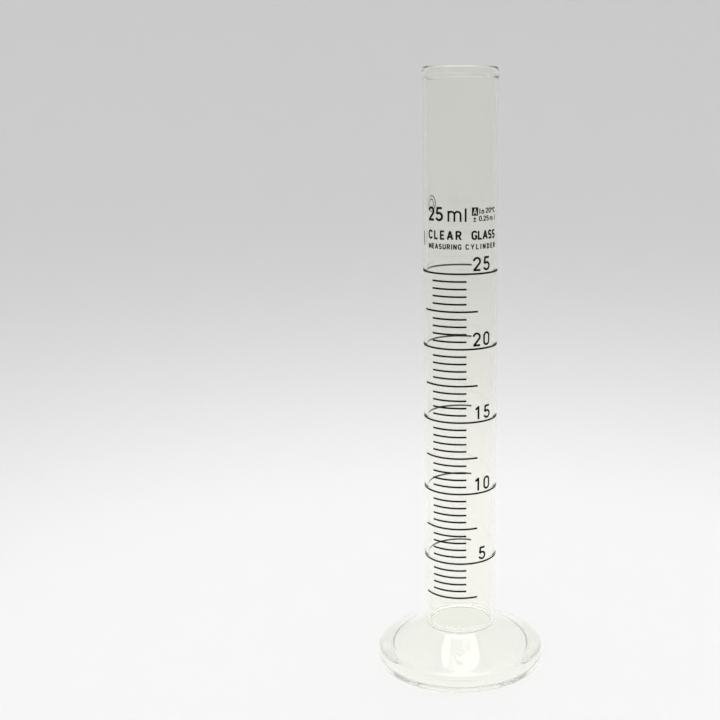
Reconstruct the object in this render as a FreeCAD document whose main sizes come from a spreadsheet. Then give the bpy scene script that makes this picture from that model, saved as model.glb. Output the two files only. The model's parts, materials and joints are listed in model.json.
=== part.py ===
"""25 ml measuring cylinder: a glass tube fused to a round glass foot, with a fired enamel scale.

Millimetres, +Z up, origin at the bottom centre of the foot. The middle of the scale faces -Y. The pouring
spout is on the left of the scale, turned towards the back. Angles round the tube are in degrees, counted from
-Y towards +X. All the enamel marks lie on the tube's outer face, each as a thin solid of its own.
"""

import FreeCAD, Part
import math
import os

import Sketcher

# The driving dimensions: alias and value. Lengths are in millimetres and angles in degrees.
DIMENSIONS = [
    # the tube
    ("tube_radius", 9.85),
    ("wall", 0.9),
    ("total_height", 163.35),
    ("shoulder_height", 12.4),  # where the straight wall ends and the rounded edge of the bottom begins
    ("shoulder_radius", 1.75),
    ("floor_height", 11.56),  # inside bottom
    ("floor_round", 1.45),  # rounding between the inside bottom and the bore
    # the fused joint: a shallow dish whose edge is the groove round the neck
    ("joint_radius", 9.5),
    ("joint_height", 11.35),
    ("joint_sag", 1.95),
    ("neck_round", 0.6),
    ("neck_angle", 60.0),  # how far the neck turns, from upright towards the top of the foot
    # the fire-polished lip
    ("lip_radius", 10.15),
    ("lip_depth", 3.2),  # from the top down to where the bead begins
    ("lip_swell", 1.7),  # from the top down to where the bead is widest
    ("lip_round", 2.5),  # rounding from there up to the crown
    ("crown_radius", 9.3),
    ("crown_round", 0.45),
    ("mouth_flare", 0.15),
    ("mouth_depth", 2.6),
    # the pouring spout
    ("spout_azimuth", 160.0),  # from +X, about +Z
    ("spout_reach", 11.6),  # from the tube's axis to the tip
    ("spout_drop", 1.2),  # the tip is this much lower than the lip
    ("spout_length", 7.0),
    ("spout_round", 5.0),  # radius of the spout's outside at its top
    ("spout_heel", 1.0),  # the same at its lower end
    ("spout_bed", 0.1),  # how deep the lower end is sunk in the wall
    # the foot
    ("foot_radius", 23.0),
    ("foot_top_edge", 5.16),
    ("foot_top_inset", 1.0),
    ("foot_top_hollow", 80.0),  # radius of the hollow between the neck and the rim
    ("foot_edge_round", 1.5),
    ("foot_side_height", 3.75),
    ("foot_base_round", 0.8),
    ("recess_radius", 17.2),
    ("recess_slope", 1.2),
    ("recess_depth", 1.0),
    ("recess_crown", 1.8),
    # the scale
    ("full_mark_height", 111.0),  # the 25 ml ring
    ("line_width", 0.47),
    ("enamel", 0.04),
    ("ring_start", -181.0),
    ("ring_end", 111.5),
    ("long_half_angle", 46.7),
    ("short_half_angle", 28.4),
]

FULL_ML = 25
NUMBERED_STEP_ML = 5
DIVISION_ML = 0.5
TURN = 360.0
Z_AXIS = FreeCAD.Vector(0, 0, 1)

JOINT_BOTTOM = "Dims.joint_height - Dims.joint_sag"
JOINT_CURVE = "(Dims.joint_radius^2 + Dims.joint_sag^2) / (2 * Dims.joint_sag)"

# Height of a mark above the bottom of the foot: 1 ml is 1000 cubic millimetres of bore.
MARK_HEIGHT = (
    "Dims.full_mark_height - ({full} - {ml}) * 1000 / (pi * (Dims.tube_radius - Dims.wall)^2)"
)


# ---------------------------------------------------------------- document and sheet


def make_document():
    """An empty document with the sheet of driving dimensions."""
    doc = FreeCAD.newDocument("measuring_cylinder")
    sheet = doc.addObject("Spreadsheet::Sheet", "Dims")
    for row, (alias, value) in enumerate(DIMENSIONS, start=1):
        sheet.set(f"A{row}", alias)
        sheet.set(f"B{row}", str(value))
        sheet.setAlias(f"B{row}", alias)
    doc.recompute()
    return doc


def mark_height(ml):
    """The height of a volume's mark, as an expression."""
    return MARK_HEIGHT.format(full=FULL_ML, ml=ml)


# ---------------------------------------------------------------- sketches


def plane_of(body, role):
    """One of a body's own origin planes."""
    return next(f for f in body.Origin.OriginFeatures if f.Role == role)


def new_sketch(body, name, role, height=None):
    """A sketch on a plane of its body, raised along the plane's normal if a height is given."""
    sketch = body.newObject("Sketcher::SketchObject", name)
    sketch.AttachmentSupport = [(plane_of(body, role), "")]
    sketch.MapMode = "FlatFace"
    if height:
        sketch.setExpression("AttachmentOffset.Base.z", height)
    return sketch


def named_constraint(sketch, name, expression, *definition):
    """A dimension that follows an expression."""
    value = float(sketch.evalExpression(expression))
    index = sketch.addConstraint(Sketcher.Constraint(*definition, value))
    sketch.renameConstraint(index, name)
    sketch.setExpression(f"Constraints.{name}", expression)


def arc_between(start, end, radius, turn):
    """An arc from start to end. turn is 1 if it runs anticlockwise and -1 if it runs clockwise."""
    chord = end - start
    rise = math.sqrt(max(radius**2 - (chord.Length / 2) ** 2, 0.0))
    side = FreeCAD.Vector(-chord.y, chord.x, 0).normalize() * rise * turn
    centre = (start + end) * 0.5 + side
    first, last = (start, end) if turn > 0 else (end, start)
    angles = [math.atan2(p.y - centre.y, p.x - centre.x) for p in (first, last)]
    circle = Part.Circle(centre, Z_AXIS, radius)
    return Part.ArcOfCircle(circle, angles[0], angles[1])


def draw_outline(sketch, points, arcs):
    """A closed outline through points, each a pair of expressions.

    arcs maps the number of a side to its radius and its turn; the other sides are straight. Every point is
    held by two dimensions and every arc by its radius, so the outline follows the sheet.
    """
    places = [FreeCAD.Vector(*(float(sketch.evalExpression(e)) for e in p), 0) for p in points]
    starts = []
    for i, place in enumerate(places):
        following = places[(i + 1) % len(places)]
        if i in arcs:
            radius, turn = arcs[i]
            line = arc_between(place, following, float(sketch.evalExpression(radius)), turn)
        else:
            turn = 1
            line = Part.LineSegment(place, following)
        side = sketch.addGeometry(line)
        starts.append((side, 1, 2) if turn > 0 else (side, 2, 1))
    for i, (side, start, _) in enumerate(starts):
        previous, _, end = starts[i - 1]
        sketch.addConstraint(Sketcher.Constraint("Coincident", previous, end, side, start))
        hold_point(sketch, i, side, start, points[i])
    for i, (radius, _) in arcs.items():
        named_constraint(sketch, f"radius_{i}", radius, "Radius", starts[i][0])


def hold_point(sketch, i, side, corner, point):
    """Holds one point of an outline by its distances from the sketch's axes."""
    for axis, kind, expression in ((-2, "DistanceX", point[0]), (-1, "DistanceY", point[1])):
        if expression == "0":
            sketch.addConstraint(Sketcher.Constraint("PointOnObject", side, corner, axis))
        else:
            name = f"{kind}_{i}"
            named_constraint(sketch, name, expression, kind, -1, 1, side, corner)


def draw_circle(sketch, centre_x, radius):
    """A circle with its centre on the sketch's horizontal axis."""
    place = FreeCAD.Vector(float(sketch.evalExpression(centre_x)), 0, 0)
    size = float(sketch.evalExpression(radius))
    circle = sketch.addGeometry(Part.Circle(place, Z_AXIS, size))
    sketch.addConstraint(Sketcher.Constraint("PointOnObject", circle, 3, -1))
    named_constraint(sketch, "centre_x", centre_x, "DistanceX", -1, 1, circle, 3)
    named_constraint(sketch, "radius", radius, "Radius", circle)


# ---------------------------------------------------------------- features


def new_body(doc, label):
    body = doc.addObject("PartDesign::Body", label)
    body.Label = label
    return body


def turned(body, kind, name, sketch, angle=None):
    """A Revolution or a Groove of a sketch about the body's upright axis."""
    feature = body.newObject(f"PartDesign::{kind}", name)
    feature.Profile = sketch
    feature.ReferenceAxis = (sketch, ["V_Axis"])
    feature.Angle = TURN
    if angle:
        feature.Midplane = True
        feature.setExpression("Angle", angle)
    return feature


def lofted(body, kind, name, first, last):
    """A straight loft between two sketches."""
    feature = body.newObject(f"PartDesign::{kind}", name)
    feature.Profile = first
    feature.Sections = [last]
    feature.Ruled = True
    return feature


# ---------------------------------------------------------------- the glass


def make_tube(doc):
    """The tube: closed bottom with a rounded edge, straight wall, beaded lip and pouring spout."""
    body = new_body(doc, "glass_tube")
    turned(body, "Revolution", "outer_form", outer_form_sketch(body))
    spout_loft(body, "AdditiveLoft", "spout_outside", "0", "0")
    turned(body, "Groove", "bore", bore_sketch(body))
    spout_loft(body, "SubtractiveLoft", "spout_channel", "Dims.wall", "Dims.spout_drop + 1")
    body.setExpression("Placement.Rotation.Angle", "Dims.spout_azimuth")
    return body


def outer_form_sketch(body):
    """Half of the tube's outside, from the joint up to the crown of the lip."""
    sketch = new_sketch(body, "outer_form_outline", "XZ_Plane")
    top = "Dims.total_height"
    points = [
        ("0", JOINT_BOTTOM),
        ("Dims.joint_radius", "Dims.joint_height"),
        ("Dims.tube_radius", "Dims.shoulder_height"),
        ("Dims.tube_radius", f"{top} - Dims.lip_depth"),
        ("Dims.lip_radius", f"{top} - Dims.lip_swell"),
        ("Dims.crown_radius + Dims.crown_round", f"{top} - Dims.crown_round"),
        ("Dims.crown_radius", top),
        ("0", top),
    ]
    arcs = {
        0: (JOINT_CURVE, 1),
        1: ("Dims.shoulder_radius", 1),
        4: ("Dims.lip_round", 1),
        5: ("Dims.crown_round", 1),
    }
    draw_outline(sketch, points, arcs)
    return sketch


def bore_sketch(body):
    """Half of the space inside the tube, open through the mouth."""
    sketch = new_sketch(body, "bore_outline", "XZ_Plane")
    bore = "Dims.tube_radius - Dims.wall"
    top = "Dims.total_height"
    points = [
        ("0", "Dims.floor_height"),
        (f"{bore} - Dims.floor_round", "Dims.floor_height"),
        (bore, "Dims.floor_height + Dims.floor_round"),
        (bore, f"{top} - Dims.mouth_depth"),
        (f"{bore} + Dims.mouth_flare", top),
        (f"{bore} + Dims.mouth_flare", f"{top} + 1"),
        ("0", f"{top} + 1"),
    ]
    draw_outline(sketch, points, {1: ("Dims.floor_round", 1)})
    return sketch


def spout_loft(body, kind, name, inset, overshoot):
    """One face of the spout: a slanting cone that is wide at the lip and narrow below it."""
    low = f"Dims.total_height - Dims.spout_drop - Dims.spout_length + {inset}"
    high = f"Dims.total_height - Dims.spout_drop + {overshoot}"
    heel = new_sketch(body, f"{name}_heel", "XY_Plane", low)
    heel_place = f"Dims.tube_radius - Dims.spout_bed - Dims.spout_heel - {inset}"
    draw_circle(heel, heel_place, f"Dims.spout_heel - {inset} / 2")
    mouth = new_sketch(body, f"{name}_mouth", "XY_Plane", high)
    draw_circle(mouth, "Dims.spout_reach - Dims.spout_round", f"Dims.spout_round - {inset}")
    return lofted(body, kind, name, heel, mouth)


def make_foot(doc):
    """The pressed foot: hollow slopes from the neck to a rounded rim, and a shallow crowned recess below."""
    body = new_body(doc, "glass_foot")
    recess_edge = "(Dims.recess_radius - Dims.recess_slope)"
    recess_rise = "(Dims.recess_crown - Dims.recess_depth)"
    sketch = new_sketch(body, "foot_outline", "XZ_Plane")
    points = [
        ("0", "Dims.recess_crown"),
        (recess_edge, "Dims.recess_depth"),
        ("Dims.recess_radius", "0"),
        ("Dims.foot_radius - Dims.foot_base_round", "0"),
        ("Dims.foot_radius", "Dims.foot_base_round"),
        ("Dims.foot_radius", "Dims.foot_side_height"),
        ("Dims.foot_radius - Dims.foot_top_inset", "Dims.foot_top_edge"),
        (
            "Dims.joint_radius + Dims.neck_round * (1 - cos(Dims.neck_angle * 1deg))",
            "Dims.joint_height - Dims.neck_round * sin(Dims.neck_angle * 1deg)",
        ),
        ("Dims.joint_radius", "Dims.joint_height"),
        ("0", JOINT_BOTTOM),
    ]
    arcs = {
        0: (f"({recess_edge}^2 + {recess_rise}^2) / (2 * {recess_rise})", -1),
        3: ("Dims.foot_base_round", 1),
        5: ("Dims.foot_edge_round", 1),
        6: ("Dims.foot_top_hollow", -1),
        7: ("Dims.neck_round", -1),
        8: (JOINT_CURVE, -1),
    }
    draw_outline(sketch, points, arcs)
    turned(body, "Revolution", "foot_form", sketch)
    return body


# ---------------------------------------------------------------- the scale lines


def line_sketch(body):
    """The cross-section of one enamel line, on the tube's outer face."""
    sketch = new_sketch(body, "line_section", "XZ_Plane")
    inside = "Dims.tube_radius"
    outside = "Dims.tube_radius + Dims.enamel"
    points = [
        (inside, "0"),
        (outside, "0"),
        (outside, "Dims.line_width"),
        (inside, "Dims.line_width"),
    ]
    draw_outline(sketch, points, {})
    return sketch


def make_line(doc, label, ml, span, middle="0"):
    """One enamel line, or the lowest of a group. span is its angle round the tube and middle its middle."""
    body = new_body(doc, label)
    turned(body, "Revolution", "line", line_sketch(body), span)
    height = f"{mark_height(ml)} - Dims.line_width / 2"
    body.setExpression("Placement.Base.z", height)
    body.setExpression("Placement.Rotation.Angle", f"{middle} - 90")
    return body


def make_ring_line(doc, ml):
    """A numbered line, which runs most of the way round."""
    span = "Dims.ring_end - Dims.ring_start"
    middle = "(Dims.ring_end + Dims.ring_start) / 2"
    return make_line(doc, f"ring_line_{ml:02d}_ml", ml, span, middle)


def make_long_line(doc, ml):
    """A line half-way between two numbered ones."""
    name = f"long_line_{ml:04.1f}_ml".replace(".", "_")
    return make_line(doc, name, ml, "2 * Dims.long_half_angle")


def make_short_lines(doc, lowest_ml):
    """The four short lines above a longer one, a division apart."""
    count = 4
    highest_ml = lowest_ml + (count - 1) * DIVISION_ML
    name = f"short_lines_{lowest_ml:04.1f}_to_{highest_ml:04.1f}_ml".replace(".", "_")
    body = make_line(doc, name, lowest_ml, "2 * Dims.short_half_angle")
    pattern = body.newObject("PartDesign::LinearPattern", "divisions")
    pattern.Originals = [body.Tip]
    pattern.Direction = (body.Group[0], ["V_Axis"])
    pattern.Occurrences = count
    span = f"({count - 1}) * {DIVISION_ML} * 1000 / (pi * (Dims.tube_radius - Dims.wall)^2)"
    pattern.setExpression("Length", span)
    body.Tip = pattern
    return body


def make_scale(doc):
    """All the lines of the scale, from 2.5 ml up to 25 ml."""
    lines = [make_ring_line(doc, ml) for ml in range(NUMBERED_STEP_ML, FULL_ML + 1, NUMBERED_STEP_ML)]
    half_step = NUMBERED_STEP_ML / 2
    for i in range(1, round(FULL_ML / half_step)):
        longer_line = i * half_step
        if i % 2:
            lines.append(make_long_line(doc, longer_line))
        lines.append(make_short_lines(doc, longer_line + DIVISION_ML))
    return lines


# ---------------------------------------------------------------- lettering

# A glyph is one unit high. It holds its width, its bars (x, y to x, y) and its bows (centre x, y, radius, and
# first and last angle). A stroke is as thick as the text it belongs to says, which has to be less than twice
# the radius of every bow.
GLYPHS = {
    "0": (
        0.6,
        [(0.06, 0.3, 0.06, 0.7), (0.54, 0.3, 0.54, 0.7)],
        [(0.3, 0.7, 0.24, 0, 180), (0.3, 0.3, 0.24, 180, 360)],
    ),
    "1": (0.42, [(0.32, 0, 0.32, 1), (0.08, 0.74, 0.32, 0.94)], []),
    "2": (
        0.6,
        [(0.49, 0.53, 0.09, 0.08), (0.02, 0.06, 0.58, 0.06)],
        [(0.3, 0.69, 0.25, -40, 175)],
    ),
    "5": (
        0.6,
        [(0.1, 0.94, 0.54, 0.94), (0.15, 0.98, 0.09, 0.5)],
        [(0.29, 0.32, 0.26, -160, 140)],
    ),
    "m": (
        0.93,
        [(0.06, 0, 0.06, 0.72), (0.465, 0, 0.465, 0.48), (0.87, 0, 0.87, 0.48)],
        [(0.2625, 0.46, 0.2025, 0, 180), (0.6675, 0.46, 0.2025, 0, 180)],
    ),
    "n": (0.5, [(0.06, 0, 0.06, 0.72), (0.44, 0, 0.44, 0.5)], [(0.25, 0.48, 0.19, 0, 180)]),
    "l": (0.12, [(0.06, 0, 0.06, 1)], []),
    ".": (0.14, [(0.07, 0, 0.07, 0.14)], []),
    "±": (0.6, [(0.04, 0.06, 0.56, 0.06), (0.3, 0.26, 0.3, 0.8), (0.04, 0.53, 0.56, 0.53)], []),
    "°": (0.52, [], [(0.26, 0.74, 0.16, 0, 180), (0.26, 0.74, 0.16, 180, 360)]),
    "A": (0.68, [(0.04, 0, 0.34, 1), (0.64, 0, 0.34, 1), (0.16, 0.32, 0.52, 0.32)], []),
    "C": (
        0.62,
        [(0.06, 0.34, 0.06, 0.66)],
        [(0.34, 0.66, 0.28, 20, 180), (0.34, 0.34, 0.28, 180, 340)],
    ),
    "D": (
        0.6,
        [(0.06, 0, 0.06, 1), (0, 0.94, 0.24, 0.94), (0, 0.06, 0.24, 0.06), (0.54, 0.36, 0.54, 0.64)],
        [(0.24, 0.64, 0.3, 0, 90), (0.24, 0.36, 0.3, 270, 360)],
    ),
    "E": (0.54, [(0.06, 0, 0.06, 1), (0, 0.94, 0.52, 0.94), (0, 0.5, 0.46, 0.5), (0, 0.06, 0.52, 0.06)], []),
    "G": (
        0.64,
        [(0.06, 0.34, 0.06, 0.66), (0.58, 0.08, 0.58, 0.44), (0.36, 0.42, 0.64, 0.42)],
        [(0.34, 0.66, 0.28, 20, 180), (0.34, 0.34, 0.28, 180, 330)],
    ),
    "I": (0.12, [(0.06, 0, 0.06, 1)], []),
    "L": (0.5, [(0.06, 0, 0.06, 1), (0, 0.06, 0.5, 0.06)], []),
    "M": (0.76, [(0.06, 0, 0.06, 1), (0.7, 0, 0.7, 1), (0.07, 0.96, 0.38, 0.2), (0.69, 0.96, 0.38, 0.2)], []),
    "N": (0.62, [(0.06, 0, 0.06, 1), (0.56, 0, 0.56, 1), (0.07, 0.96, 0.55, 0.04)], []),
    "R": (
        0.62,
        [(0.06, 0, 0.06, 1), (0, 0.94, 0.32, 0.94), (0, 0.48, 0.32, 0.48), (0.3, 0.48, 0.58, 0)],
        [(0.32, 0.71, 0.23, -90, 90)],
    ),
    "S": (0.58, [], [(0.29, 0.71, 0.23, 30, 270), (0.29, 0.29, 0.23, -150, 90)]),
    "U": (0.62, [(0.06, 0.3, 0.06, 1), (0.56, 0.3, 0.56, 1)], [(0.31, 0.31, 0.25, 180, 360)]),
    "Y": (0.64, [(0.32, 0, 0.32, 0.46), (0.04, 1, 0.32, 0.42), (0.6, 1, 0.32, 0.42)], []),
}

# The label block above the 25 ml ring. Each text has its first and last angle round the tube, the height of
# its base above the ring, its own height and its stroke, as a share of that height.
LABEL_TEXTS = {
    "capacity_label": [
        ("25", -36.5, -8.5, 13.6, 3.5, 0.175),
        ("m", -0.5, 20.7, 13.5, 3.9, 0.125),
        ("l", 26.4, 27.4, 13.5, 3.42, 0.143),
    ],
    "calibration_text": [
        ("In", 49, 57, 15.4, 1.4, 0.2),
        ("20°C", 60.6, 83, 15.6, 1.3, 0.2),
        ("±", 38, 44, 13.5, 1.4, 0.19),
        ("0.25", 48.2, 66.5, 13.6, 1.3, 0.2),
        ("ml", 69.5, 83, 13.6, 1.3, 0.17),
    ],
    "glass_type_text": [
        ("CLEAR", -36.5, 20.3, 8.9, 2.2, 0.22),
        ("GLASS", 36.4, 83, 8.9, 2.2, 0.22),
    ],
    "description_text": [
        ("MEASURING", -36.5, 20.3, 6.4, 1.3, 0.23),
        ("CYLINDER", 27, 84, 6.4, 1.3, 0.23),
    ],
}

# The numerals: first and last angle. They share one height and stand just above their ring lines.
NUMERAL_SPANS = {5: (49, 63), 10: (41.6, 71), 15: (41.6, 71), 20: (38.6, 69.5), 25: (38.6, 69)}
NUMERAL_LIFT = 0.75
NUMERAL_HEIGHT = 3.6
NUMERAL_STROKE = 0.155

BADGE_AZIMUTH = 41.5
BADGE_BASE = 15.0
BADGE_WIDTH = 1.75
BADGE_HEIGHT = 2.15
BADGE_LETTER_HEIGHT = 1.55
BADGE_LETTER_STROKE = 0.14

EMBLEM_AZIMUTH = -101
EMBLEM_MIDDLE = 17.0
EMBLEM_RADII = (2.1, 1.2)
EMBLEM_STROKE = 0.3

SIDE_BAR_AZIMUTH = -52
SIDE_BAR_BASE = 6.9
SIDE_BAR_HEIGHT = 3.6
SIDE_BAR_WIDTH = 0.35


class Pen:
    """Draws strokes as thin solids on the tube's outer face, facing -Y until they are turned into place."""

    def __init__(self, doc):
        sheet = doc.getObject("Dims")
        self.doc = doc
        self.radius = float(sheet.tube_radius)
        self.enamel = float(sheet.enamel)

    def bar(self, x0, y0, x1, y1, thick):
        """A straight stroke with square ends."""
        along = FreeCAD.Vector(x1 - x0, 0, y1 - y0)
        side = FreeCAD.Vector(-along.z, 0, along.x).normalize() * (thick / 2)
        start = FreeCAD.Vector(x0, 0, y0)
        corners = [start - side, start + along - side, start + along + side, start + side]
        return self.prism(Part.makePolygon(corners + corners[:1]))

    def bow(self, x, y, radius, first, last, thick):
        """A stroke along an arc."""
        outer = radius + thick / 2
        inner = radius - thick / 2
        middle = (first + last) / 2

        def at(reach, degrees):
            angle = math.radians(degrees)
            return FreeCAD.Vector(x + reach * math.cos(angle), 0, y + reach * math.sin(angle))

        edges = [
            Part.Arc(at(outer, first), at(outer, middle), at(outer, last)).toShape(),
            Part.makeLine(at(outer, last), at(inner, last)),
            Part.Arc(at(inner, last), at(inner, middle), at(inner, first)).toShape(),
            Part.makeLine(at(inner, first), at(outer, first)),
        ]
        return self.prism(Part.Wire(edges))

    def prism(self, wire):
        """Carries an outline in the XZ plane out through the wall of the tube."""
        face = Part.Face(wire)
        face.translate(FreeCAD.Vector(0, -self.radius / 2, 0))
        return face.extrude(FreeCAD.Vector(0, -self.radius, 0))

    def strokes(self, bars, bows, thick, scale=1.0, shift=0.0):
        """The prisms of a figure, scaled and then shifted sideways, joined where they cross."""
        prisms = [
            self.bar(x0 * scale + shift, y0 * scale, x1 * scale + shift, y1 * scale, thick)
            for x0, y0, x1, y1 in bars
        ]
        prisms += [
            self.bow(x * scale + shift, y * scale, r * scale, first, last, thick)
            for x, y, r, first, last in bows
        ]
        return prisms[0].multiFuse(prisms[1:]) if len(prisms) > 1 else prisms[0]

    def glyph(self, character, height, stroke):
        """One character's prisms, with its middle on the -Y side's middle."""
        width, bars, bows = GLYPHS[character]
        return self.strokes(bars, bows, stroke * height, height, -width * height / 2)

    def onto_tube(self, figure, azimuth, base):
        """The part of a figure that lies in the enamel, turned to its azimuth and raised to its height."""
        box = figure.BoundBox
        low = FreeCAD.Vector(0, 0, box.ZMin - 1)
        height = box.ZLength + 2
        shell = Part.makeCylinder(self.radius + self.enamel, height, low)
        shell = shell.cut(Part.makeCylinder(self.radius, height, low))
        patch = figure.common(shell).removeSplitter()
        patch.rotate(FreeCAD.Vector(), Z_AXIS, azimuth)
        patch.translate(FreeCAD.Vector(0, 0, base))
        return patch.Solids

    def text(self, characters, first, last, base, height, stroke):
        """A run of characters that fills the angle from first to last."""
        widths = [GLYPHS[c][0] * height for c in characters]
        arc = math.radians(last - first) * self.radius
        gap = (arc - sum(widths)) / max(len(characters) - 1, 1)
        solids = []
        place = 0.0 if len(characters) > 1 else gap / 2
        for character, width in zip(characters, widths):
            azimuth = first + math.degrees((place + width / 2) / self.radius)
            solids += self.onto_tube(self.glyph(character, height, stroke), azimuth, base)
            place += width + gap
        return solids

    def keep(self, label, solids, ml=FULL_ML):
        """Stores solids as one sub-part, raised to the mark of a volume."""
        feature = self.doc.addObject("Part::Feature", label)
        feature.Label = label
        feature.Shape = Part.makeCompound(solids)
        feature.setExpression("Placement.Base.z", mark_height(ml))
        return feature


def make_numeral(pen, ml):
    """The number at the right-hand end of a numbered line."""
    first, last = NUMERAL_SPANS[ml]
    solids = pen.text(str(ml), first, last, NUMERAL_LIFT, NUMERAL_HEIGHT, NUMERAL_STROKE)
    return pen.keep(f"numeral_{ml:02d}", solids, ml)


def make_class_badge(pen):
    """The accuracy class: a solid square with the letter left clear."""
    square = pen.bar(0, 0, 0, BADGE_HEIGHT, BADGE_WIDTH)
    letter = pen.glyph("A", BADGE_LETTER_HEIGHT, BADGE_LETTER_STROKE)
    letter.translate(FreeCAD.Vector(0, 0, (BADGE_HEIGHT - BADGE_LETTER_HEIGHT) / 2))
    solids = pen.onto_tube(square.cut(letter), BADGE_AZIMUTH, BADGE_BASE)
    return pen.keep("class_badge", solids)


def make_plain_emblem(pen):
    """Two plain rings, one inside the other, at the left of the label block."""
    halves = ((0, 180), (180, 360))
    bows = [(0, 0, radius, first, last) for radius in EMBLEM_RADII for first, last in halves]
    figure = pen.strokes([], bows, EMBLEM_STROKE)
    return pen.keep("plain_emblem", pen.onto_tube(figure, EMBLEM_AZIMUTH, EMBLEM_MIDDLE))


def make_side_bar(pen):
    """A short upright bar at the left of the label block."""
    figure = pen.bar(0, 0, 0, SIDE_BAR_HEIGHT, SIDE_BAR_WIDTH)
    return pen.keep("side_bar", pen.onto_tube(figure, SIDE_BAR_AZIMUTH, SIDE_BAR_BASE))


def make_lettering(doc):
    """The numerals and everything in the label block."""
    pen = Pen(doc)
    parts = [make_numeral(pen, ml) for ml in NUMERAL_SPANS]
    for label, texts in LABEL_TEXTS.items():
        solids = []
        for text in texts:
            solids += pen.text(*text)
        parts.append(pen.keep(label, solids))
    return parts + [make_class_badge(pen), make_plain_emblem(pen), make_side_bar(pen)]


# ---------------------------------------------------------------- checks and files


def check(doc, parts):
    """Stops on anything that failed to build."""
    for item in doc.Objects:
        if {"Invalid", "Error"} & set(item.State):
            raise RuntimeError(f"{item.Label} did not build: {item.State}")
    for part in parts:
        if part.Shape.isNull() or not part.Shape.isValid() or not part.Shape.Solids:
            raise RuntimeError(f"{part.Label} has no valid solid")


def report_capacity(doc):
    """Prints the volume under the full mark, which is what the scale stands for."""
    sheet = doc.getObject("Dims")
    bore = float(sheet.tube_radius) - float(sheet.wall)
    floor = float(sheet.floor_height)
    inside = Part.makeCylinder(bore, float(sheet.full_mark_height) - floor, FreeCAD.Vector(0, 0, floor))
    bottom = [e for e in inside.Edges if e.BoundBox.ZMax < floor + 0.01 and e.Closed]
    liquid = inside.makeFillet(float(sheet.floor_round), bottom[:1])
    print(f"capacity at the full mark: {liquid.Volume / 1000:.2f} ml")


def write_files(parts):
    os.makedirs("parts", exist_ok=True)
    for part in parts:
        part.Shape.exportStep(os.path.join("parts", f"{part.Label}.step"))
        box = part.Shape.BoundBox
        print(f"{part.Label}: {len(part.Shape.Solids)} solids, z {box.ZMin:.2f} to {box.ZMax:.2f}")


def main():
    doc = make_document()
    parts = [make_tube(doc), make_foot(doc)]
    parts += make_scale(doc)
    parts += make_lettering(doc)
    doc.recompute()
    check(doc, parts)
    report_capacity(doc)
    write_files(parts)


main()
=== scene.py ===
"""Looks of the 25 ml measuring cylinder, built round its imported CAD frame. Metres, +Z up, scale facing -Y."""

import json
import math

import bmesh
import bpy
import numpy as np
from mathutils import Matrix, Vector


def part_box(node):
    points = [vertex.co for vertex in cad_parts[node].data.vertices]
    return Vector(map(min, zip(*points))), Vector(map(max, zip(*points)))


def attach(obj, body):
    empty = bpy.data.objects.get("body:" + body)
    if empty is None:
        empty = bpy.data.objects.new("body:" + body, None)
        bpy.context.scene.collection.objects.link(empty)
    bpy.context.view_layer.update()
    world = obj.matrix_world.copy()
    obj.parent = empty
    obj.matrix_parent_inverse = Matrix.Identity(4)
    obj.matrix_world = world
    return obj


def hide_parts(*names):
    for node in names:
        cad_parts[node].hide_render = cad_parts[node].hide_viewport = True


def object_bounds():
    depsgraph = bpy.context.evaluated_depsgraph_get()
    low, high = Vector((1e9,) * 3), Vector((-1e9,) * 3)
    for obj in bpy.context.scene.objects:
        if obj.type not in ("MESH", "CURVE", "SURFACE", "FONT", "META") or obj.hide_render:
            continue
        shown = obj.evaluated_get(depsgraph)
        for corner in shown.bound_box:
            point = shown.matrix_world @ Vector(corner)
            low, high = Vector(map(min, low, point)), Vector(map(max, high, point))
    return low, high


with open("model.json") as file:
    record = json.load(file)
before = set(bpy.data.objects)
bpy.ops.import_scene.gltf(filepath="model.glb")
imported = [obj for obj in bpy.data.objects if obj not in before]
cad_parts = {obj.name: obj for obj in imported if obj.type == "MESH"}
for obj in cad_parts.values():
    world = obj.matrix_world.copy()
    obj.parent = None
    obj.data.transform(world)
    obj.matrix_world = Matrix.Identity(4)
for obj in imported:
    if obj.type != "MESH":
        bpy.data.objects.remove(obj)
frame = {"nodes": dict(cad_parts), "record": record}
CAD_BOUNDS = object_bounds()

MM = 0.001

# ---------------------------------------------------------------- sizes from the frame

MOUNTS = {m["name"]: m for m in frame["record"]["mounts"]}
TOP = CAD_BOUNDS[1].z
FOOT_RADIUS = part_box("glass_foot")[1].x
JOINT_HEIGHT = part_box("glass_foot")[1].z
LIP_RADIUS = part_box("glass_tube")[1].y
BORE_RADIUS = MOUNTS["bore"]["dims"]["r_mm"] * MM
WALL = 0.9 * MM
TUBE_RADIUS = BORE_RADIUS + WALL
GLASS_NODES = ("glass_tube", "glass_foot")
BODY = "root"

# the bottom of the tube, the fused joint and the neck
SHOULDER_ROUND = 1.75 * MM
SHOULDER_HEIGHT = 12.4 * MM
JOINT_RADIUS = 9.5 * MM
JOINT_SAG = 1.95 * MM
NECK_ROUND = 0.6 * MM
FLOOR_HEIGHT = 11.56 * MM
FLOOR_ROUND = 1.45 * MM

# the fire-polished lip and the spout
LIP_DEPTH = 3.2 * MM
LIP_SWELL = 1.7 * MM
CROWN_RADIUS = 9.3 * MM
CROWN_ROUND = 0.45 * MM
CROWN_START = 0.4  # radians round the crown at which it takes over from the side of the bead
BEAD_CURVE = 1.3  # how sharply the side of the bead leans in towards the crown
BEAD_SHARE = 0.96  # how much of that side there is before the crown takes over
MOUTH_DEPTH = 1.8 * MM
SPOUT_AZIMUTH = math.radians(160)
SPOUT_HALF_ANGLE = math.radians(45)
SPOUT_REACH = 1.3 * MM
SPOUT_LENGTH = 7.0 * MM
SPOUT_DROP = 1.2 * MM

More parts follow.
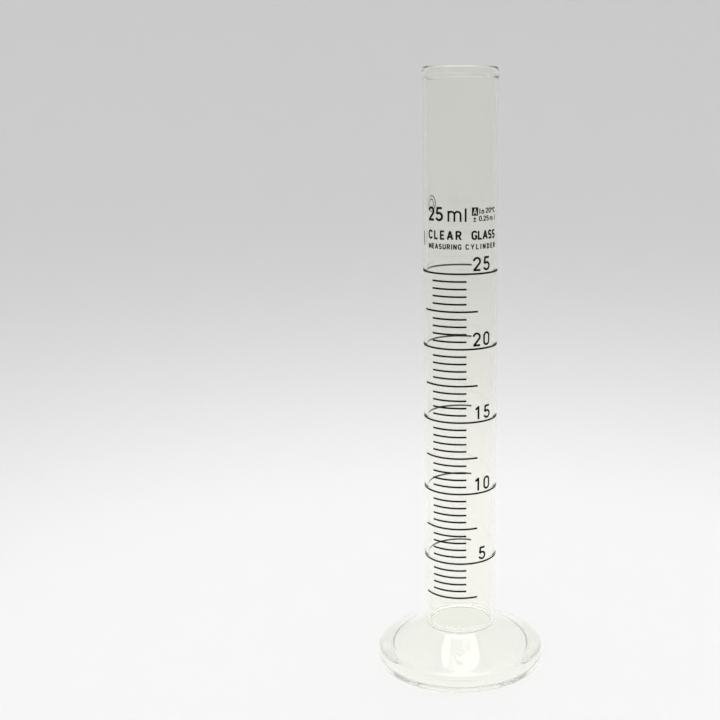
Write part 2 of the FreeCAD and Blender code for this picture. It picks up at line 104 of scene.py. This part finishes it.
# the foot
FOOT_SIDE_HEIGHT = 3.75 * MM
FOOT_EDGE_ROUND = 1.5 * MM
FOOT_BASE_ROUND = 0.8 * MM
FOOT_BEND = math.radians(-9.5)  # the top of the foot hollows by this much between the neck and the rim
RECESS_RADIUS = 17.2 * MM
RECESS_SLOPE = 1.2 * MM
RECESS_DEPTH = 1.0 * MM
RECESS_CROWN = 1.8 * MM

# how finely the glass is divided
COLUMNS = 240
DISH_ROWS = 10
WALL_ROWS = 40
SPOUT_ROWS = 6
LIP_ROWS = 12
BEAD_ROWS = 13
MOUTH_ROWS = 8
HOLLOW_ROWS = 25
RECESS_ROWS = 18
ARC_STEP = math.radians(6)

# the enamel
EMBED = 0.012 * MM
ENAMEL = 0.04 * MM
FINE_EDGE = 0.35 * MM
SAME_PLACE = 1e-7  # points nearer to each other than this many metres are one point

# the materials
GLASS_IOR = 1.473
GLASS_TINT = (0.99, 0.99, 0.955)
SHADOW_TINT = (0.995, 1.0, 0.985)
RIPPLE_SCALE = 60.0
RIPPLE_DEPTH = 0.2 * MM
TUBE_RIPPLE = 0.002
FOOT_RIPPLE = 0.01
DRAWN = (1, 1, 0.15)  # the ripples of drawn glass run along the tube
PRESSED = (1, 1, 1)
UNDERSIDE_ROUGHNESS = 0.3
UNDERSIDE_IOR = 1.12  # lower than that of glass, so that the paper shows evenly through the matt underside
UNDERSIDE_SLOT = 2
UNDERSIDE_MARGIN = 0.1 * MM  # faces up to this far above the crown of the recess belong to the underside
GRAIN_SCALE = 9000.0
ENAMEL_TONES = ((0.35, (0.002, 0.002, 0.0015, 1)), (0.7, (0.007, 0.007, 0.005, 1)))

# the studio
SWEEP_FLAT = 0.15
SWEEP_BEND = 0.40
SWEEP_HEIGHT = 1.2
SWEEP_COLUMNS = 96
AIR_GAP = 0.03 * MM
# the sweep's colour darkens from the floor tone to the wall tone between the two distances below: painted
# shade, where less of the overhead light falls
FLOOR_TONE = 0.86
SHADED_WALL_TONE = 0.57
SHADE_START = 0.13
SHADE_END = 0.42
LIGHT_HEIGHT = 1.15
LIGHT_SIZE = 0.9
LIGHT_POWER = 7.45
WORLD_STRENGTH = 0.4695
LIGHT_BOUNCES = 256
CLEAR_BOUNCES = 64

# the camera
CAMERA_AZIMUTH = math.radians(18.9)
CAMERA_DISTANCE = 313.25 * MM
CAMERA_HEIGHT = 154.28 * MM
CAMERA_PITCH = math.radians(12.251)
CAMERA_LENS = 59.25
CAMERA_SHIFT = -0.1393

# ---------------------------------------------------------------- profiles


def arc(centre, radius, start, end):
    """Points of an arc in the (radius, height) plane, angles in radians from the radius axis."""
    steps = max(2, math.ceil(abs(end - start) / ARC_STEP))
    return [
        (
            centre[0] + radius * math.cos(start + (end - start) * i / steps),
            centre[1] + radius * math.sin(start + (end - start) * i / steps),
        )
        for i in range(steps + 1)
    ]


def bead_side(start, end):
    """The outside of the bead, upright where it is widest and leaning in more and more up to the crown."""
    return [
        (start[0] + (end[0] - start[0]) * t**BEAD_CURVE, start[1] + (end[1] - start[1]) * t)
        for t in np.linspace(0, BEAD_SHARE, BEAD_ROWS)
    ]


def joint_dish():
    """The shallow dish on which the tube and the foot are fused, from near the axis out to its edge."""
    radius = (JOINT_RADIUS**2 + JOINT_SAG**2) / (2 * JOINT_SAG)
    bottom = JOINT_HEIGHT - JOINT_SAG
    reaches = [JOINT_RADIUS * k / DISH_ROWS for k in range(1, DISH_ROWS + 1)]
    return [(r, bottom + radius - math.sqrt(radius**2 - r**2)) for r in reaches]


def ease(t):
    """Smooth step from 0 to 1."""
    t = min(max(t, 0.0), 1.0)
    return t * t * (3 - 2 * t)


def eased_line(start, end, steps):
    """A line whose radius changes gently at both ends."""
    return [
        (
            start[0] + (end[0] - start[0]) * ease(i / steps),
            start[1] + (end[1] - start[1]) * i / steps,
        )
        for i in range(steps + 1)
    ]


def tube_outline():
    """The tube's section, from the edge of the joint up the outside, over the lip and down to the floor."""
    shoulder = (TUBE_RADIUS - SHOULDER_ROUND, SHOULDER_HEIGHT)
    start = math.atan2(JOINT_HEIGHT - shoulder[1], JOINT_RADIUS - shoulder[0])
    spout_foot = TOP - SPOUT_LENGTH
    bead_foot = TOP - LIP_DEPTH
    widest = (LIP_RADIUS, TOP - LIP_SWELL)
    crown = (CROWN_RADIUS, TOP - CROWN_ROUND)
    points = joint_dish() + arc(shoulder, SHOULDER_ROUND, start, 0)
    points += eased_line((TUBE_RADIUS, SHOULDER_HEIGHT), (TUBE_RADIUS, spout_foot), WALL_ROWS)
    points += eased_line((TUBE_RADIUS, spout_foot), (TUBE_RADIUS, bead_foot), SPOUT_ROWS)
    points += eased_line((TUBE_RADIUS, bead_foot), widest, LIP_ROWS)
    points += bead_side(widest, (crown[0] + CROWN_ROUND, crown[1]))
    points += arc(crown, CROWN_ROUND, CROWN_START, math.pi)
    mouth_foot = TOP - MOUTH_DEPTH
    points += eased_line((crown[0] - CROWN_ROUND, crown[1]), (BORE_RADIUS, mouth_foot), MOUTH_ROWS)
    points += eased_line((BORE_RADIUS, mouth_foot), (BORE_RADIUS, spout_foot), SPOUT_ROWS)
    floor_round = (BORE_RADIUS - FLOOR_ROUND, FLOOR_HEIGHT + FLOOR_ROUND)
    points += eased_line((BORE_RADIUS, spout_foot), (BORE_RADIUS, floor_round[1]), WALL_ROWS)
    points += arc(floor_round, FLOOR_ROUND, 0, -math.pi / 2)
    points += [(floor_round[0] * k, FLOOR_HEIGHT) for k in (0.66, 0.33)]
    return without_repeats(points)


def foot_slope(neck, edge):
    """The slopes of the foot's top at the neck and at the rim, and the points where it starts and ends.

    The top is tangent to the roundings of the neck and the rim. It is hollow, so its two slopes differ by
    FOOT_BEND. Each round of the loop finds the ends from the slope, and then the slope from the ends. Ten
    rounds settle it to the last digit.
    """
    slope = 0.3
    for _ in range(10):
        near, far = slope - FOOT_BEND / 2, slope + FOOT_BEND / 2
        start = (neck[0] - NECK_ROUND * math.sin(near), neck[1] - NECK_ROUND * math.cos(near))
        end = (edge[0] + FOOT_EDGE_ROUND * math.sin(far), edge[1] + FOOT_EDGE_ROUND * math.cos(far))
        slope = math.atan2(start[1] - end[1], end[0] - start[0])
    return near, far, start, end


def foot_outline():
    """The foot's section, from the edge of the joint over the top, round the rim and in under the recess."""
    quarter = math.pi / 2
    neck = (JOINT_RADIUS + NECK_ROUND, JOINT_HEIGHT)
    edge = (FOOT_RADIUS - FOOT_EDGE_ROUND, FOOT_SIDE_HEIGHT)
    base = (FOOT_RADIUS - FOOT_BASE_ROUND, FOOT_BASE_ROUND)
    near, far, start, end = foot_slope(neck, edge)
    reach = math.dist(start, end) / (2 * math.sin(FOOT_BEND / 2))
    middle = (start[0] - reach * math.sin(near), start[1] - reach * math.cos(near))
    points = joint_dish() + arc(neck, NECK_ROUND, math.pi, 3 * quarter - near)
    points += [
        (middle[0] + reach * math.cos(quarter - a), middle[1] + reach * math.sin(quarter - a))
        for a in np.linspace(near, far, HOLLOW_ROWS)
    ]
    points += arc(edge, FOOT_EDGE_ROUND, quarter - far, 0)
    points += arc(base, FOOT_BASE_ROUND, 0, -quarter)
    inner = RECESS_RADIUS - RECESS_SLOPE
    points += eased_line((base[0], 0), (RECESS_RADIUS, 0), 3)
    points += eased_line((RECESS_RADIUS, 0), (inner, RECESS_DEPTH), 8)
    points += [
        (inner * k, RECESS_CROWN - (RECESS_CROWN - RECESS_DEPTH) * k * k)
        for k in np.linspace(1, 0.04, RECESS_ROWS)
    ]
    return without_repeats(points)


def without_repeats(points):
    """The same points with coincident neighbours dropped."""
    kept = [points[0]]
    for p in points[1:]:
        if math.dist(p, kept[-1]) > SAME_PLACE:
            kept.append(p)
    return kept


# ---------------------------------------------------------------- glass meshes


def add_object(name, data):
    """A new object in the scene."""
    piece = bpy.data.objects.new(name, data)
    bpy.context.scene.collection.objects.link(piece)
    return piece


def mesh_data(mesh, name):
    """The finished form of a mesh that was built face by face."""
    bmesh.ops.recalc_face_normals(mesh, faces=mesh.faces)
    data = bpy.data.meshes.new(name)
    mesh.to_mesh(data)
    mesh.free()
    data.shade_smooth()
    return data


def spout_pull(angle, height):
    """How far out and down the lip is drawn at an angle round the tube and a height."""
    off = abs((angle - SPOUT_AZIMUTH + math.pi) % (2 * math.pi) - math.pi) / SPOUT_HALF_ANGLE
    across = math.cos(min(off, 1.0) * math.pi / 2) ** 2
    along = ease((height - TOP + SPOUT_LENGTH) / SPOUT_LENGTH)
    amount = across * along * along
    return SPOUT_REACH * amount, -SPOUT_DROP * amount


def straight(angle, height):
    """No spout."""
    return 0.0, 0.0


def turned_rings(mesh, outline, columns, pull=straight):
    """One ring of points for each point of an outline."""
    rings = []
    for r, z in outline:
        ring = []
        for i in range(columns):
            a = 2 * math.pi * i / columns
            out, down = pull(a, z)
            ring.append(mesh.verts.new(((r + out) * math.cos(a), (r + out) * math.sin(a), z + down)))
        rings.append(ring)
    return rings


def skin(mesh, rings, joint_rows=0):
    """Faces between neighbouring rings. The first rows are the joint and have the second material slot."""
    for row, (low, high) in enumerate(zip(rings, rings[1:]), start=1):
        for i in range(len(low)):
            j = (i + 1) % len(low)
            face = mesh.faces.new((low[i], low[j], high[j], high[i]))
            face.material_index = 1 if row < joint_rows else 0


def close_with_fan(mesh, ring, slot):
    """Closes a ring with triangles to its middle."""
    centre = mesh.verts.new(sum((v.co for v in ring), Vector()) / len(ring))
    for i, v in enumerate(ring):
        face = mesh.faces.new((v, ring[(i + 1) % len(ring)], centre))
        face.material_index = slot


def turned_piece(name, outline, pull=straight):
    """A closed piece of glass turned from an outline that starts with the joint."""
    mesh = bmesh.new()
    rings = turned_rings(mesh, outline, COLUMNS, pull)
    skin(mesh, rings, DISH_ROWS)
    close_with_fan(mesh, rings[-1], 0)
    close_with_fan(mesh, rings[0], 1)
    return add_object(name, mesh_data(mesh, name))


# ---------------------------------------------------------------- enamel meshes


def divide_long_edges(mesh):
    """Divides the enamel finely enough for it to follow the tube."""
    for _ in range(4):
        long_edges = [e for e in mesh.edges if e.calc_length() > FINE_EDGE]
        if not long_edges:
            break
        bmesh.ops.subdivide_edges(mesh, edges=long_edges, cuts=1, use_grid_fill=False)
    bmesh.ops.triangulate(mesh, faces=[f for f in mesh.faces if len(f.verts) > 4])


def enamel_piece(node):
    """The enamel of one CAD node, with finer curves and its inner face bedded just into the glass."""
    data = frame["nodes"][node].data.copy()
    data.materials.clear()
    mesh = bmesh.new()
    mesh.from_mesh(data)
    bmesh.ops.remove_doubles(mesh, verts=mesh.verts, dist=SAME_PLACE)
    depth = mesh.verts.layers.float.new("depth")
    middle = TUBE_RADIUS + ENAMEL / 2
    for v in mesh.verts:
        v[depth] = 1.0 if math.hypot(v.co.x, v.co.y) > middle else 0.0
    divide_long_edges(mesh)
    for v in mesh.verts:
        wanted = TUBE_RADIUS - EMBED + v[depth] * (ENAMEL + EMBED)
        stretch = wanted / math.hypot(v.co.x, v.co.y)
        v.co.x *= stretch
        v.co.y *= stretch
    bmesh.ops.recalc_face_normals(mesh, faces=mesh.faces)
    mesh.to_mesh(data)
    mesh.free()
    data.name = f"{node}_enamel"
    return add_object(data.name, data)


# ---------------------------------------------------------------- materials


def new_material(name):
    material = bpy.data.materials.new(name)
    material.use_nodes = True
    nodes = material.node_tree.nodes
    return material, nodes, material.node_tree.links, nodes["Principled BSDF"]


def glass_material(name, ripple, ripple_stretch, roughness=0.0, ior=GLASS_IOR):
    """Clear glass with the faint ripples of drawn or pressed glass."""
    material, nodes, links, shader = new_material(name)
    shader.inputs["Base Color"].default_value = (*GLASS_TINT, 1)
    shader.inputs["Roughness"].default_value = roughness
    shader.inputs["IOR"].default_value = ior
    shader.inputs["Transmission Weight"].default_value = 1.0
    place = nodes.new("ShaderNodeTexCoord")
    stretch = nodes.new("ShaderNodeMapping")
    stretch.inputs["Scale"].default_value = ripple_stretch
    waves = nodes.new("ShaderNodeTexNoise")
    waves.inputs["Scale"].default_value = RIPPLE_SCALE
    waves.inputs["Detail"].default_value = 1.0
    bump = nodes.new("ShaderNodeBump")
    bump.inputs["Strength"].default_value = ripple
    bump.inputs["Distance"].default_value = RIPPLE_DEPTH
    links.new(place.outputs["Object"], stretch.inputs["Vector"])
    links.new(stretch.outputs["Vector"], waves.inputs["Vector"])
    links.new(waves.outputs["Fac"], bump.inputs["Height"])
    links.new(bump.outputs["Normal"], shader.inputs["Normal"])
    let_soft_light_through(nodes, links, shader)
    return material


def let_soft_light_through(nodes, links, shader):
    """Makes the surface plainly transparent to shadow and diffuse rays."""
    path = nodes.new("ShaderNodeLightPath")
    either = nodes.new("ShaderNodeMath")
    either.operation = "MAXIMUM"
    clear = nodes.new("ShaderNodeBsdfTransparent")
    clear.inputs["Color"].default_value = (*SHADOW_TINT, 1)
    pick = nodes.new("ShaderNodeMixShader")
    links.new(path.outputs["Is Shadow Ray"], either.inputs[0])
    links.new(path.outputs["Is Diffuse Ray"], either.inputs[1])
    links.new(either.outputs["Value"], pick.inputs["Fac"])
    links.new(shader.outputs["BSDF"], pick.inputs[1])
    links.new(clear.outputs["BSDF"], pick.inputs[2])
    links.new(pick.outputs["Shader"], nodes["Material Output"].inputs["Surface"])


def joint_material():
    """Where the tube and the foot are fused there is no surface, so light passes straight on."""
    material, nodes, links, shader = new_material("fused_joint")
    clear = nodes.new("ShaderNodeBsdfTransparent")
    links.new(clear.outputs["BSDF"], nodes["Material Output"].inputs["Surface"])
    nodes.remove(shader)
    return material


def enamel_material():
    """Dark fired enamel, low in gloss and slightly uneven in cover."""
    material, nodes, links, shader = new_material("enamel")
    place = nodes.new("ShaderNodeTexCoord")
    grain = nodes.new("ShaderNodeTexNoise")
    grain.inputs["Scale"].default_value = GRAIN_SCALE
    grain.inputs["Detail"].default_value = 2.0
    tone = nodes.new("ShaderNodeValToRGB")
    for element, (position, colour) in zip(tone.color_ramp.elements, ENAMEL_TONES):
        element.position = position
        element.color = colour
    links.new(place.outputs["Object"], grain.inputs["Vector"])
    links.new(grain.outputs["Fac"], tone.inputs["Fac"])
    links.new(tone.outputs["Color"], shader.inputs["Base Color"])
    shader.inputs["Roughness"].default_value = 0.6
    shader.inputs["Specular IOR Level"].default_value = 0.08
    return material


def sweep_material():
    """Matt white paper with painted shade: its colour turns greyer outwards and up the wall, where less of the
    overhead light falls, alike on every side.
    """
    material, nodes, links, shader = new_material("white_sweep_painted_shade")
    shader.inputs["Roughness"].default_value = 1.0
    shader.inputs["Specular IOR Level"].default_value = 0.0
    place = nodes.new("ShaderNodeTexCoord")
    level = nodes.new("ShaderNodeVectorMath")
    level.operation = "MULTIPLY"
    level.inputs[1].default_value = (1, 1, 0)
    reach = nodes.new("ShaderNodeVectorMath")
    reach.operation = "LENGTH"
    # painted shade: the paper's colour greys outwards and up the wall, where less light falls
    painted_shade = nodes.new("ShaderNodeMapRange")
    painted_shade.interpolation_type = "SMOOTHSTEP"
    painted_shade.inputs["From Min"].default_value = SHADE_START
    painted_shade.inputs["From Max"].default_value = SHADE_END
    painted_shade.inputs["To Min"].default_value = FLOOR_TONE
    painted_shade.inputs["To Max"].default_value = SHADED_WALL_TONE
    links.new(place.outputs["Object"], level.inputs[0])
    links.new(level.outputs["Vector"], reach.inputs[0])
    links.new(reach.outputs["Value"], painted_shade.inputs["Value"])
    links.new(painted_shade.outputs["Result"], shader.inputs["Base Color"])
    return material


# ---------------------------------------------------------------- stage


def sweep_outline():
    """The section of the floor, from near the middle out, and of the wall that it curves up into."""
    wall = SWEEP_FLAT + SWEEP_BEND
    floor = [(SWEEP_FLAT * k / 14, 0.0) for k in range(1, 15)]
    bend = arc((SWEEP_FLAT, SWEEP_BEND), SWEEP_BEND, -math.pi / 2, 0)
    upright = [(wall, SWEEP_BEND + (SWEEP_HEIGHT - SWEEP_BEND) * k / 8) for k in range(1, 9)]
    return without_repeats(floor + bend + upright)


def make_sweep():
    """A round white studio floor that curves up into a wall on every side."""
    mesh = bmesh.new()
    rings = turned_rings(mesh, sweep_outline(), SWEEP_COLUMNS)
    skin(mesh, rings)
    close_with_fan(mesh, rings[0], 0)
    sweep = add_object("studio_sweep", mesh_data(mesh, "studio_sweep"))
    sweep.data.materials.append(sweep_material())
    sweep.location.z = -AIR_GAP


def make_overhead_light():
    """A broad round light straight above the cylinder. A light points down unless it is turned."""
    light = bpy.data.lights.new("overhead", "AREA")
    light.shape = "DISK"
    light.size = LIGHT_SIZE
    light.energy = LIGHT_POWER
    lamp = add_object("overhead", light)
    lamp.location.z = LIGHT_HEIGHT


def make_world():
    """Even white light from all round."""
    world = bpy.data.worlds.new("studio")
    world.use_nodes = True
    background = world.node_tree.nodes["Background"]
    background.inputs["Color"].default_value = (1, 1, 1, 1)
    background.inputs["Strength"].default_value = WORLD_STRENGTH
    bpy.context.scene.world = world


def make_camera():
    """The camera stands off the scale's right-hand side, a little below the lip, looking down at the tube."""
    data = bpy.data.cameras.new("camera")
    data.sensor_width = 36.0
    data.lens = CAMERA_LENS
    data.shift_x = CAMERA_SHIFT
    data.clip_start = 0.01
    camera = add_object("camera", data)
    across, back = math.sin(CAMERA_AZIMUTH), -math.cos(CAMERA_AZIMUTH)
    camera.location = (CAMERA_DISTANCE * across, CAMERA_DISTANCE * back, CAMERA_HEIGHT)
    camera.rotation_euler = (math.pi / 2 - CAMERA_PITCH, 0, CAMERA_AZIMUTH)
    bpy.context.scene.camera = camera


def set_light_paths():
    """Enough bounces for light that runs a long way inside the glass."""
    cycles = bpy.context.scene.cycles
    cycles.max_bounces = LIGHT_BOUNCES
    cycles.transmission_bounces = LIGHT_BOUNCES
    cycles.glossy_bounces = LIGHT_BOUNCES
    cycles.transparent_max_bounces = CLEAR_BOUNCES
    bpy.context.scene.view_settings.view_transform = "Standard"


# ---------------------------------------------------------------- the object


def stand_in(piece, node):
    """Lets a piece ride on the body in place of a CAD node."""
    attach(piece, BODY)
    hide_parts(node)


def mark_underside(foot):
    """Gives the recess under the foot its own material."""
    for face in foot.data.polygons:
        if face.center.z < RECESS_CROWN + UNDERSIDE_MARGIN and face.center.xy.length < RECESS_RADIUS:
            face.material_index = UNDERSIDE_SLOT


def make_glass():
    """The tube and the foot. Where they are fused, both have the joint's material."""
    joint = joint_material()
    tube = turned_piece("tube_glass", tube_outline(), spout_pull)
    tube.data.materials.append(glass_material("tube_glass", TUBE_RIPPLE, DRAWN))
    tube.data.materials.append(joint)
    foot = turned_piece("foot_glass", foot_outline())
    foot.data.materials.append(glass_material("foot_glass", FOOT_RIPPLE, PRESSED))
    foot.data.materials.append(joint)
    underside = glass_material("foot_underside", FOOT_RIPPLE, PRESSED, UNDERSIDE_ROUGHNESS, UNDERSIDE_IOR)
    foot.data.materials.append(underside)
    mark_underside(foot)
    for piece, node in zip((tube, foot), GLASS_NODES):
        stand_in(piece, node)


def make_enamel():
    """Every line, numeral and text of the CAD model, in fired enamel."""
    material = enamel_material()
    for node in sorted(set(frame["nodes"]) - set(GLASS_NODES)):
        piece = enamel_piece(node)
        piece.data.materials.append(material)
        stand_in(piece, node)


make_camera()
make_glass()
make_enamel()
make_sweep()
make_overhead_light()
make_world()
set_light_paths()
